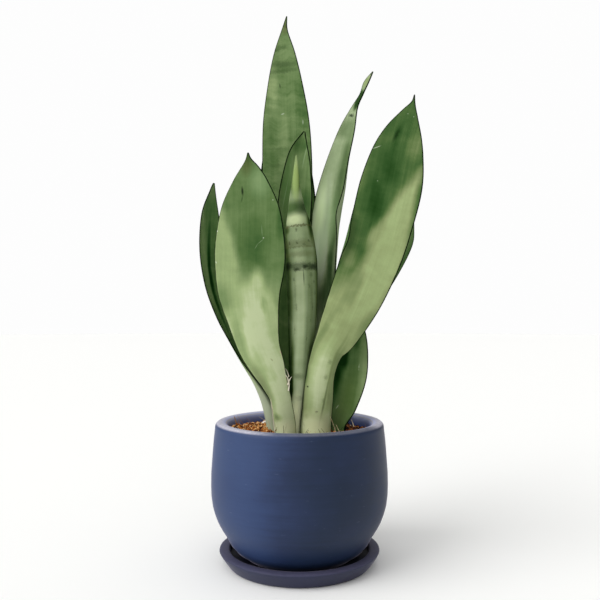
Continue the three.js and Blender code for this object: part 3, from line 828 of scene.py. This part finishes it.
# Tall back leaf: nearly flat, mottled green with dark cross bands near its tip.
tall_back = blade("tall_back_leaf", [
    (-8.5, 22, 120, 22, 0, 35), (-10, 26, 162, 28, 0, 29), (-11, 28, 219, 37, -4, 23),
    (-11.5, 28, 276, 44, -4, 18), (-11.5, 27, 333, 48, -4, 15), (-11.5, 26, 371, 48, -4, 14),
    (-12.5, 25, 409, 44, -4, 13), (-13.5, 24, 446, 32, -4, 13), (-14, 23, 472, 20, -4, 13),
    (-14, 23, 493, 6, -4, 13), (-12, 22, 506, 1, -4, 13),
])
dress(tall_back, leaf_look("mottled_skin_tall_back", 0.5, [
    (0, 355, 16, 14, 0.57, 0.8), (-13, 318, 9, 32, 0.7, 0.9), (-3, 278, 7, 28, 0.64, 0.8),
    (-3, 248, 8, 16, 0.62, 0.9), (12, 244, 8, 12, 0.54, 0.9), (18, 300, 13, 52, 0.37, 0.8),
    (-18, 256, 14, 30, 0.41, 0.9), (0, 381, 5, 10, 0.42, 0.7),
], [
    ("#22301c", -5.1, 321, 0.7, 3, 0.9, 0, 5), ("#b9c6ae", -3.2, 294.7, 2.2, 0.8, 0.6, 0, 20),
    ("#b9c6ae", 16, 286, 0.7, 3, 0.5, 0), ("#5d5a36", 0, 376, 4, 9, 0.5, 1),
    ("#364c27", -2, 341, 17, 4.5, 0.6, 1), ("#364c27", -2, 335, 18, 3, 0.5, 1, 4),
    ("#41592f", -3, 357, 9, 3.5, 0.6, 1), ("#41592f", -8, 354, 5, 2, 0.7, 1, 10),
    ("#41592f", -10, 262, 12, 1.6, 0.4, 1), ("#41592f", -12, 246, 12, 2.2, 0.4, 1, 3),
], banding=0.4, margins=(0.6, 0.9)), "mid_leaf", "leaf_tall_back")

# Back centre leaf: behind the tall one, which hides all of it but slivers of its dark margins.
back_centre = blade("back_centre_leaf", [
    (1, 35, 120, 24, 0, 30), (-1.5, 40, 156, 34, 0, 28), (-4.5, 45, 204, 45, 0, 24),
    (-7.5, 47, 258, 52, 0, 20), (-10, 48, 312, 56, 0, 17), (-12, 48, 347, 54, 0, 17),
    (-13.5, 46, 376, 46, 0, 15), (-14, 45, 405, 27, 0, 14), (-14, 44, 426, 2, 0, 14),
])
dress(back_centre, leaf_look("mottled_skin_back_centre", 0.36, [
    (0, 60, 40, 80, 0.55, 0.8), (0, 180, 40, 12, 0.26, 0.7), (0, 240, 40, 14, 0.26, 0.7),
], [], banding=0.28, margins=(1.3, 1.3)), "mid_leaf", "leaf_back_centre")

# Leaf behind the broad right one, which shows its right margin alone.
behind_right = blade("behind_right_leaf", [
    (20.5, 26, 120, 16, 10, -30), (23, 24, 148, 17.5, 10, -25), (29.5, 20, 191, 20, 10, -20),
    (47, 16, 221, 31, 10, -20), (65, 14, 252, 39, 10, -17), (86, 10, 289, 38, 10, -13),
    (92, 8, 307, 31, 10, -12), (97, 6, 348, 11, 10, -11), (98.5, 5, 364, 1.5, 10, -11),
])
dress(behind_right, leaf_look("green_skin_behind_right", 0.34, [
    (0, 50, 30, 60, 0.5, 0.8), (0, 150, 30, 20, 0.24, 0.7, 10), (12, 200, 6, 40, 0.46, 0.8),
], [], banding=0.2, margins=(1, 1)), "dark_leaf", "leaf_behind_right")

# Narrow twisted leaf: a silvery channel whose right margin rolls forward, with its neck pinched dark
# and its tip drawn out to the right.
narrow_twisted = blade("narrow_twisted_leaf", [
    (18.5, 14, 120, 20.5, -35, 40, 45), (20.5, 14, 159, 25, -35, 45, 50), (23, 13, 210, 30.5, -35, 52, 60),
    (25.5, 12, 252, 34.5, -35, 55, 66), (28.5, 11, 294, 38, -34, 58, 80), (32, 10, 317, 42, -30, 56, 115),
    (35, 8, 339, 38, -30, 50, 92), (39, 6, 367, 27.5, -29, 38, 72), (45, 4, 394, 17.5, -28, 30, 45),
    (50.5, 2, 413, 7, -28, 28), (56.5, 1, 425, 4, -30, 30), (61, 1, 436, 5.5, -30, 30),
    (67, 0, 446, 1, -30, 30),
])
GREY_GREENS = even_stops(
    "#152b10", "#233d1a", "#334c27", "#445c35", "#566b43", "#677b53", "#778a61", "#879871", "#97a880",
    "#a8b792", "#b9c5a4",
)
# Painted light: the shades of tone 1.1 and the pale green marks on its left part, where the rolled leaf
# shades it. Painted shade: the darker patches low on it, where it goes behind the leaves in front.
dress(narrow_twisted, leaf_look("silver_skin_narrow_twisted", 0.78, [
    (-8, 200, 9, 44, 0.94, 0.8), (6, 215, 11, 86, 0.38, 0.6), (0, 275, 20, 14, 0.56, 0.8),
    (4, 126, 24, 38, 0.36, 0.9), (-14, 190, 8, 34, 1.1, 0.8), (-7, 158, 8, 42, 1.1, 0.8),
    (3.5, 148, 5.5, 38, 0.22, 0.9), (0.5, 306, 5, 16, 0.12, 0.6), (0, 321, 6, 9, 0.68, 0.6),
], [
    ("#8fae78", -4, 190, 14, 34, 0.4, 0), ("#dcf0bb", -14, 192, 7, 44, 0.8, 0),
    ("#cfe6b8", -11, 162, 9, 28, 0.8, 0), ("#e4f5d2", -12.5, 148, 3.4, 40, 0.9, 0),
    ("#1f3018", -0.3, 288.8, 4, 2.2, 0.9, 1), ("#8a9a4e", 0, 322, 3, 8, 0.4, 0),
    ("#2a3420", 0, 331, 3, 3, 0.6, 0),
], margins=(0.4, 0.7), greens=GREY_GREENS), "silver_leaf", "leaf_narrow_twisted")

# Inner cup leaf: a dark hollow leaf behind the rolled one, with thick dark margins.
inner_cup = blade("inner_cup_leaf", [
    (-6.5, 15, 120, 28, 0, 60), (-6.5, 15, 159, 28.5, 0, 50), (-6, 14, 201, 30.5, 0, 40),
    (-6, 13, 238, 31.5, 0, 33), (-5.5, 12, 275, 32.5, 0, 32, 30), (-5.5, 11, 307, 33, 1, 34, 32),
    (-4, 10, 335, 33, 3, 38, 36), (-2, 8, 360, 26.5, 5, 42), (0, 7, 376, 18, 6, 40),
    (4.5, 6, 393, 1.5, 8, 40),
])
# Its lower part is painted a little darker: painted shade between the leaves in front of it.
dress(inner_cup, leaf_look("green_skin_inner_cup", 0.49, [
    (0, 262, 16, 10, 0.36, 0.7), (-12, 222, 7, 24, 0.46, 0.9), (10, 208, 8, 20, 0.28, 0.9),
    (-2, 225, 8, 18, 0.42, 0.9), (-5, 238, 4, 16, 0.6, 0.8), (0, 90, 40, 112, 0.4, 0.35),
], [
    ("#5c8546", -9, 226, 7, 40, 0.5, 0), ("#8fa57c", 6, 252, 0.7, 16, 0.5, 0, -6),
    ("#8fa57c", -10, 214, 0.6, 20, 0.4, 0, -8),
], banding=0.16), "dark_leaf", "leaf_inner_cup")

# Rolled young leaf: a closed spear with a yellow-green point, ringed by dark ragged bands.
rolled_spear = blade("rolled_young_leaf", [
    (-1.5, -9, 120, 30, 0, -145), (-0.5, -14, 162, 41, 0, -145), (1, -17, 193, 50, 0, -145),
    (2.5, -19, 220, 60, 0, -145), (2.5, -20, 246, 65, 0, -145), (1.5, -20, 271, 67, 0, -140),
    (0, -20, 290, 60, 0, -135), (-1, -19, 304, 51, 0, -130), (-2.7, -17, 320, 30, 0, -121),
    (-3.5, -16, 337, 12, 0, -90), (-3.2, -16, 350, 5.5, 0, -60), (-2.8, -16, 366, 1, 0, -30),
])
# Its point is still soft: above this height its skin counts as far from the dark margin
SOFT_ABOVE = 340
FAR_FROM_MARGIN = 2
for vertex, depth in zip(rolled_spear.data.vertices, rolled_spear.data.attributes["rim"].data):
    if vertex.co.z > SOFT_ABOVE * MM:
        depth.value = FAR_FROM_MARGIN
SPEAR_GREENS = even_stops(
    "#14240d", "#233615", "#344722", "#46592f", "#57693b", "#67794f", "#76885e", "#86976e", "#96a77d",
    "#a7b68d", "#b8c69e",
)
# Old specks in its skin: across, run, half width and half length
old_specks = [("#3c4c30", *place, 0.45, 1) for place in [
    (8, 140, 2.4, 3), (11, 134, 1.6, 2.4), (6, 130, 1.2, 3), (12, 124, 1.4, 3), (-7, 136, 1.2, 2.4),
    (9, 112, 0.9, 4), (-5, 112, 0.8, 5), (-6, 92, 0.7, 6), (7, 100, 0.8, 2), (4, 84, 0.8, 2.4),
]]
# Painted shade: its dark flanks, the dark lines beside its point and its collar, the dark line down the
# right of its foot against the broad right leaf, and its dark left flank low down. Painted light: the pale
# mark and the light shades at its foot, where the leaves in front shade it.
dress(rolled_spear, leaf_look("banded_skin_rolled_leaf", 0.7, [
    (-2, 110, 8, 110, 0.9, 0.8), (7, 110, 6, 110, 0.6, 0.8), (-25, 110, 18, 170, 0.12, 0.35),
    (28, 120, 20, 170, 0.0, 0.7), (-12, 56, 9, 44, 0.02, 0.6), (12, 66, 8, 34, 0.1, 0.8),
    (1, 34, 6, 30, 1.0, 0.8), (13, 30, 5, 20, 0.9, 0.8), (-6.5, 34, 3, 26, -0.1, 0.8),
    (1, 20, 3.5, 16, 1.0, 0.7), (-20, 194, 10, 9, 0.36, 0.7), (12, 184, 5, 20, 0.1, 0.8),
    (-14, 181, 8, 6, 0.2, 0.8), (0, 234, 14, 25, 0.42, 0.4), (0, 228, 3, 28, 0.9, 0.8),
], [
    ("#87a04c", 0, 226, 4, 24, 0.75, 1), ("#2f4620", -8.5, 222, 3, 24, 0.85, 0, -16),
    ("#2f4620", 8.5, 222, 3, 24, 0.85, 0, 16), ("#c6d3a2", -3, 189.5, 11, 8, 0.9, 0),
    ("#466030", -6, 200.8, 20, 8.5, 0.95, 0), ("#2a401e", 8, 200.5, 12, 9.5, 0.9, 0),
    ("#16240c", -12, 197.5, 1.5, 12, 0.9, 0, -20), ("#4c4a2a", 0, 184, 34, 1.3, 0.7, 1),
    ("#3a3f24", -2, 180, 1.2, 2.4, 0.6, 1), ("#565a34", 0, 168, 34, 5, 0.4, 1),
    ("#3a3f24", -9, 169, 1.2, 1.2, 0.7, 1), ("#2c3a1c", -2, 168.5, 1.4, 1.2, 0.7, 1),
    ("#2c3a1c", 3.5, 167, 1.4, 1, 0.7, 1), ("#2c3a1c", 8, 170, 1.4, 1, 0.7, 1),
    ("#565a34", 0, 165, 34, 0.9, 0.5, 1), ("#5d6339", 0, 158.5, 34, 3.5, 0.35, 1),
    ("#22321a", 0, 148, 40, 5, 0.6, 1), ("#141f0c", -13, 148.5, 5, 5, 0.95, 1),
    ("#1c2a12", 15, 147, 14, 4, 0.85, 1), ("#1c2a12", -4, 145, 4, 2.4, 0.8, 1),
    ("#1c2a12", 3, 147.5, 3, 2.4, 0.8, 1), ("#25351d", 1.5, 138, 0.6, 9, 0.8, 0),
    ("#55633f", 8, 120, 2, 24, 0.4, 1), ("#55633f", -6, 124, 1.2, 20, 0.35, 1),
    ("#5d6b47", 4, 88, 1, 34, 0.35, 1), ("#5d6b47", -9, 84, 1.4, 26, 0.35, 1),
    ("#5f7047", -1, 50, 7, 4, 0.55, 1), ("#5f7047", 0, 30, 6, 3, 0.5, 1),
    ("#eff6c6", -1.5, 12, 6, 28, 0.95, 0), ("#28340f", -9, 14, 3, 24, 0.8, 0),
    ("#182210", 4.8, 36, 2, 52, 0.95, 0, -5), *old_specks,
], margins=(1, 1), greens=SPEAR_GREENS, wandering=(3, 8)), "silver_leaf", "leaf_rolled_spear")

# Low right leaf: short and dark, lighter towards its right margin.
low_right = blade("low_right_leaf", [
    (35, 0, 120, 14, -8, 35), (40.5, -2, 142, 24.5, -8, 30), (45, -2, 165, 32, -8, 25),
    (47, -2, 185, 32, -8, 22), (47.5, -1, 206, 27, -8, 20), (44.5, 1, 229, 17, -8, 20),
    (40.5, 3, 247, 1.5, -8, 20),
])
# The darkest patches at its left foot are painted shadow, where the broad right leaf shades it.
dress(low_right, leaf_look("green_skin_low_right", 0.38, [
    (14, 52, 11, 50, 0.66, 0.9), (5, 46, 5, 34, 0.38, 0.9, 3), (0, 12, 16, 16, 0.46, 0.9),
    (0, 44, 4, 14, 0.38, 0.9), (-12, 50, 8, 40, 0.0, 0.9), (-7, 67, 7, 16, -0.1, 0.8),
    (4, 84, 5, 12, 0.2, 0.8),
], [
    ("#5d7236", 2, 28, 13, 38, 0.4, 1), ("#a9b894", 8, 59, 0.6, 3.5, 0.4, 1),
    ("#a9b894", -6, 20, 0.7, 3, 0.7, 0, -20),
], margins=(0.8, 0.9), wandering=(3, 8)), "dark_leaf", "leaf_low_right")

# Far left leaf: a dark channel that leans out to the left, with a pale back at its foot.
far_left = blade("far_left_leaf", [
    (-28, -4, 120, 22.5, 90, 110, 90), (-30.5, -5, 136, 22.5, 85, 112, 80),
    (-34, -6, 149, 22.5, 78, 125, 70), (-41, -8, 167, 21.5, 66, 85, 60),
    (-51.5, -12, 188, 21.5, 56, 60, 50), (-61, -17, 211, 25, 50, 42, 38),
    (-67, -19, 226, 26.5, 48, 34, 32), (-75.5, -22, 252, 25.5, 45, 30), (-79, -25, 281, 24.5, 41, 28),
    (-79, -26, 310, 19, 39, 26), (-76, -27, 331, 6.5, 38, 20), (-74.5, -28, 339, 1.5, 38, 20),
])
FRESH_GREENS = even_stops(
    "#0e2e0c", "#1b3f16", "#2b4f23", "#3d5f30", "#506f3d", "#647d4c", "#738a59", "#849666", "#92a571",
    "#a4b482", "#b7c398",
)
dress(far_left, leaf_look("green_skin_far_left", 0.4, [
    (-8, 160, 6, 80, 0.56, 0.8), (0, 226, 8, 16, 0.48, 0.9), (-3, 148, 3, 68, 0.0, 0.9, -4),
    (1, 112, 4, 24, 0.56, 0.9), (0, 18, 30, 62, 0.86, 0.5),
], [
    ("#b3b9a8", 0, 18, 30, 46, 0.6, 0), ("#142310", -10.5, 40, 2.4, 24, 0.9, 0),
    ("#1c2e16", 4.5, 44, 2.4, 18, 0.85, 0), ("#8fa57c", -8, 205, 0.8, 12, 0.5, 1, 8),
], banding=0.16, margins=(0.5, 0.8), greens=FRESH_GREENS, wandering=(3, 8)), "dark_leaf", "leaf_far_left")

# Broad left leaf: silvery below, with a dark green cloud in its upper right, old scars and a torn margin.
# The silver and the cloud are partly its own colour and partly painted light and painted shadow.
broad_left = blade("broad_left_leaf", [
    (-12.5, -22, 120, 22, 0, -55), (-16, -26, 148, 20.5, 0, -50), (-21, -29, 163, 24, 0, -40, -38),
    (-27, -32, 178, 31, 0, -30, -28), (-35, -36, 198, 37.5, 0, -20, -16),
    (-39.5, -41, 221, 45, 0, -12, -8), (-42.5, -46, 245, 54, 0, -5, -3), (-41.5, -50, 268, 59.5, 0, 0),
    (-41, -53, 289, 57.5, 0, 2), (-40.5, -56, 314, 48, 0, 4), (-40.5, -58, 334, 30, 0, 5),
    (-41, -59, 345, 16.5, 0, 5), (-42, -60, 352.5, 5, 0, 5), (-42.5, -60, 358, 1, 0, 5),
])
dress(broad_left, leaf_look("silver_skin_broad_left", 0.46, [
    (0, 58, 60, 97, 1.0, 0.35), (-25, 162, 18, 65, 0.78, 0.5, 14), (3, 170, 18, 34, 0.32, 0.9),
    (7, 221, 9, 14, 0.62, 0.8), (0, 244, 6, 12, 0.28, 0.8), (7, 138, 9, 20, 0.92, 0.8),
    (-23, 126, 13, 22, 0.6, 0.9), (26, 125, 14, 34, 0.64, 0.8), (12, 118, 6, 12, 0.72, 0.8),
    (25, 190, 5, 22, 0.3, 0.8), (16, 96, 9, 42, 0.86, 0.7), (-15, 90, 8, 36, 0.72, 0.8),
    (2, 55, 3, 10, 0.92, 0.8), (-5, 62, 7, 26, 0.84, 0.9), (-10, 48, 7, 38, 0.62, 0.9, 4),
    (-6, 15, 6, 6, 0.74, 1.0),
], [
    ("#6f8f62", 8, 222, 12, 18, 0.35, 1), ("#55562f", -3, 236, 7, 12, 0.45, 1),
    ("#17260f", -6.8, 214, 1.3, 5, 0.95, 0, 4), ("#2c4320", -7.2, 207.5, 0.8, 3.4, 0.7, 0, -12),
    ("#cdd6c0", 11, 176, 0.7, 0.7, 0.7, 0), ("#a9bd95", 8.8, 173, 0.35, 3.6, 0.35, 0, -50),
    ("#a9bd95", 5.2, 169, 0.35, 3.6, 0.3, 0, -30), ("#a9bd95", 9.6, 182, 0.35, 6, 0.3, 0, 4),
    ("#c9d6bc", 18.5, 207, 0.6, 0.6, 0.6, 0), ("#dfe5d2", -28, 180, 0.8, 1.6, 0.9, 1),
    ("#dfe5d2", -27, 188, 0.6, 1.2, 0.8, 1), ("#dfe5d2", -28.3, 154, 0.6, 1.4, 0.8, 1),
    ("#e6e0d2", 12.6, 48, 1.1, 4.5, 0.95, 1), ("#c9ae97", 15.6, 68, 1, 3, 0.8, 1),
    ("#8b8f68", -10, 50, 6, 26, 0.4, 0, 4), ("#c9bf9c", -9.6, 20, 0.7, 22, 0.6, 1, -6),
    ("#6a6a42", 5.5, 67, 0.8, 2, 0.5, 1), ("#6a7450", -6, 15, 2.6, 3.4, 0.45, 1, 20),
    ("#6b6438", 0.5, 5, 0.5, 6, 0.7, 1, -16), ("#6b6438", -9, 7, 0.6, 7, 0.6, 1, 10),
    ("#d2d6ac", 0, 5, 12, 9, 0.6, 1), ("#2a3814", 10.3, 16, 1.3, 18, 0.85, 0, 2),
], margins=(0.3, 1.0), wandering=(5, 12)), "silver_leaf", "leaf_broad_left")

# Dried strands on the broad left leaf's foot: a thread peeled from its left margin, and the ragged pale
# scar on its right one. Each is x, y, height, length, width, lean, compass and bend.
STRAND_TINT = 0.3
strands = []
for x, y, root_height, length, width, lean, compass, bend in [
    (-21.5, -24.5, 120, 34, 0.7, 7, 180, 0), (-9.8, -27.5, 158, 9, 1.3, 14, 0, -10),
    (-10.6, -27.5, 163, 8, 1.7, 18, 20, 10), (-9.6, -27.5, 166, 7, 1.5, 5, 180, 20),
    (-9.2, -27.5, 170, 8, 0.8, 12, 180, 10),
]:
    strands.append(thread(x, y, length, width, lean, compass, bend, STRAND_TINT, root_height))
dried_strands = strew("dried_margin_strands", strands)
dress(dried_strands, coir_look("dried_leaf_fibre", [(0.3, "#a8977a"), (0.5, "#e3dbc6")], 2), "silver_leaf")

# Broad right leaf: dark green above, silvery below a slanting soft edge, with its left margin rolled
# forward over 64 mm of its length and a fold down the right of its foot. The dark green and the silver
# are partly its own colour and partly painted shadow and light; the dark line at its left foot is
# painted shadow in the gap beside the rolled leaf, and the pale mark at its foot is partly painted light.
broad_right = blade("broad_right_leaf", [
    (15, -18, 120, 31.5, 6, -50), (17, -22, 149, 29.5, 6, -45), (19, -26, 172, 27, 6, -38),
    (24.5, -30, 192, 29, 5, -28), (33.5, -32, 208, 37.5, 3, -18, -16), (48, -37, 239, 46.5, 0, -5, -3),
    (62, -41, 275, 51, -4, 4), (70.5, -44, 305, 53, -6, 7), (77.5, -46, 334, 53, -8, 7),
    (82.5, -48, 359, 44.5, -8, 7), (87, -50, 377, 32, -8, 7), (92, -52, 393, 14, -8, 7),
    (95, -53, 401.5, 3.5, -8, 7), (96, -53, 408, 1, -8, 7),
], roll=(-1, 142, 206, 165, 3.2))
OLIVE_GREENS = even_stops(
    "#112c0e", "#1f3e17", "#2e4d23", "#3f5c2f", "#536b3b", "#687a4b", "#778658", "#879464", "#94a471",
    "#a4b382", "#b7c398",
)
dress(broad_right, leaf_look("silver_skin_broad_right", 0.31, [
    (2, 60, 60, 100, 0.71, 0.35), (15, 206, 15.5, 60, 0.79, 0.6, -19), (11, 156, 21, 62, 0.77, 0.5, -6),
    (-10, 210, 13, 36, 0.12, 1.0, 4), (13, 262, 9, 22, 0.47, 0.8), (-4, 240, 15, 26, 0.18, 0.9),
    (-6, 284, 5, 12, 0.36, 0.8), (-4, 268, 5, 14, 0.2, 0.9), (-3, 184, 8, 20, 0.68, 0.9, -14),
    (-25, 236, 6, 30, 0.38, 0.8), (27, 222, 8, 42, 0.36, 0.8), (-17, 155, 9, 17, 0.5, 0.9),
    (-25, 160, 3, 12, 0.46, 0.8), (-8, 140, 5, 28, 0.58, 0.9), (20, 108, 9, 24, 0.54, 0.9),
    (-3, 134, 7, 22, 0.58, 0.9), (-12, 84, 4, 34, 0.56, 0.9), (-1, 46, 12, 52, 1.0, 0.8),
    (-15, 50, 5, 16, 0.34, 0.9), (12, 36, 7, 54, 0.66, 0.5), (9, 12, 6, 20, 0.92, 0.8),
    (11, 72, 4, 24, 0.56, 0.8), (-4, 6, 14, 10, 1.0, 0.6),
], [
    ("#122a0c", -5, 268, 2, 8, 0.75, 1, -12), ("#c5d0b4", -18.5, 255, 0.35, 4.6, 0.8, 0, -60),
    ("#a9b898", -12, 228, 0.6, 0.6, 0.5, 0), ("#c5d0b4", -1, 287, 0.5, 0.5, 0.5, 0),
    ("#c5d0b4", 4.5, 286, 0.5, 0.5, 0.5, 0), ("#5b6c3f", 7.6, 72, 1.8, 30, 0.5, 0),
    ("#4d5a30", 4.4, 28, 1.3, 30, 0.65, 0, -7), ("#15190f", -10.5, 40.9, 1.2, 1.1, 0.95, 0),
    ("#56653c", 4.5, 66, 2.2, 3.5, 0.45, 1), ("#56653c", 4, 51, 2.4, 3.5, 0.45, 1),
    ("#56653c", 3.5, 30, 2, 3, 0.4, 1), ("#56653c", -9, 14, 2.4, 3, 0.35, 1),
    ("#4a4a2c", -1, 19, 1.6, 0.9, 0.8, 1, 20), ("#5d5f3c", -12, 8, 0.6, 6, 0.6, 1, 24),
    ("#d9dfae", -1, 0, 20, 24, 0.75, 0), ("#131d0c", -15.6, 26, 3.4, 50, 0.95, 0, 2),
], margins=(0.7, 1.0), greens=OLIVE_GREENS, wandering=(3, 8)), "silver_leaf", "leaf_broad_right")

# Studio
# A plain pale floor of paper and soft light from the left, with weaker light in front and above. The
# white sky lights the object less than it shows to the camera.

FLOOR_SIDES = 96
FLOOR_RADIUS = 8
FLOOR_GAP = 0.2 * MM
SKY_LIGHT = 0.42
SKY_SEEN = 0.985
deselect_all()
bpy.ops.mesh.primitive_circle_add(vertices=FLOOR_SIDES, radius=FLOOR_RADIUS, fill_type="NGON",
                                  location=(0, 0, -FLOOR_GAP))
floor = bpy.context.object
floor.name = "studio_floor"
floor_look = new_material("white_paper")[0]
finish_with(floor_look, Base_Color="#f9f9f7", Roughness=0.9)
floor.data.materials.append(floor_look)


def soft_sun(name, direction, strength, softness):
    """Even light from a direction, as from a broad window: softness is its width in degrees"""
    data = bpy.data.lights.new(name, "SUN")
    data.energy = strength
    data.angle = math.radians(softness)
    lamp = bpy.data.objects.new(name, data)
    lamp.rotation_euler = Vector(direction).to_track_quat("-Z", "Y").to_euler()
    bpy.context.scene.collection.objects.link(lamp)


soft_sun("left_window", (0.8, 0.45, -0.6), 1.85, 50)
soft_sun("front_window", (0.15, 0.8, -0.6), 0.6, 70)
soft_sun("ceiling_light", (0, 0, -1), 0.7, 90)

sky = bpy.data.worlds.new("even_sky")
bpy.context.scene.world = sky
sky.use_nodes = True
background = sky.node_tree.nodes["Background"]
background.inputs["Color"].default_value = (1, 1, 1, 1)
rays = sky.node_tree.nodes.new("ShaderNodeLightPath")
strength = sky.node_tree.nodes.new("ShaderNodeMapRange")
strength.inputs["To Min"].default_value = SKY_LIGHT
strength.inputs["To Max"].default_value = SKY_SEEN
sky.node_tree.links.new(rays.outputs["Is Camera Ray"], strength.inputs["Value"])
sky.node_tree.links.new(strength.outputs["Result"], background.inputs["Strength"])
bpy.context.scene.view_settings.view_transform = "Standard"

# The camera stands level, 627 mm in front of the pot's middle and 224 mm above the floor. The picture
# is 600 pixels wide, the lens is 688 of them long, and the shift is in pixels too.
PICTURE = 600
LENS_PIXELS = 688
SENSOR = 36
SHIFT_ACROSS = 0.5
SHIFT_UP = 15
camera_data = bpy.data.cameras.new("camera")
camera_data.sensor_width = SENSOR
camera_data.lens = LENS_PIXELS / PICTURE * SENSOR
camera_data.shift_x = SHIFT_ACROSS / PICTURE
camera_data.shift_y = SHIFT_UP / PICTURE
camera = bpy.data.objects.new("camera", camera_data)
camera.location = (0, -0.627, 0.224)
camera.rotation_euler = (math.pi / 2, 0, 0)
bpy.context.scene.collection.objects.link(camera)
bpy.context.scene.camera = camera
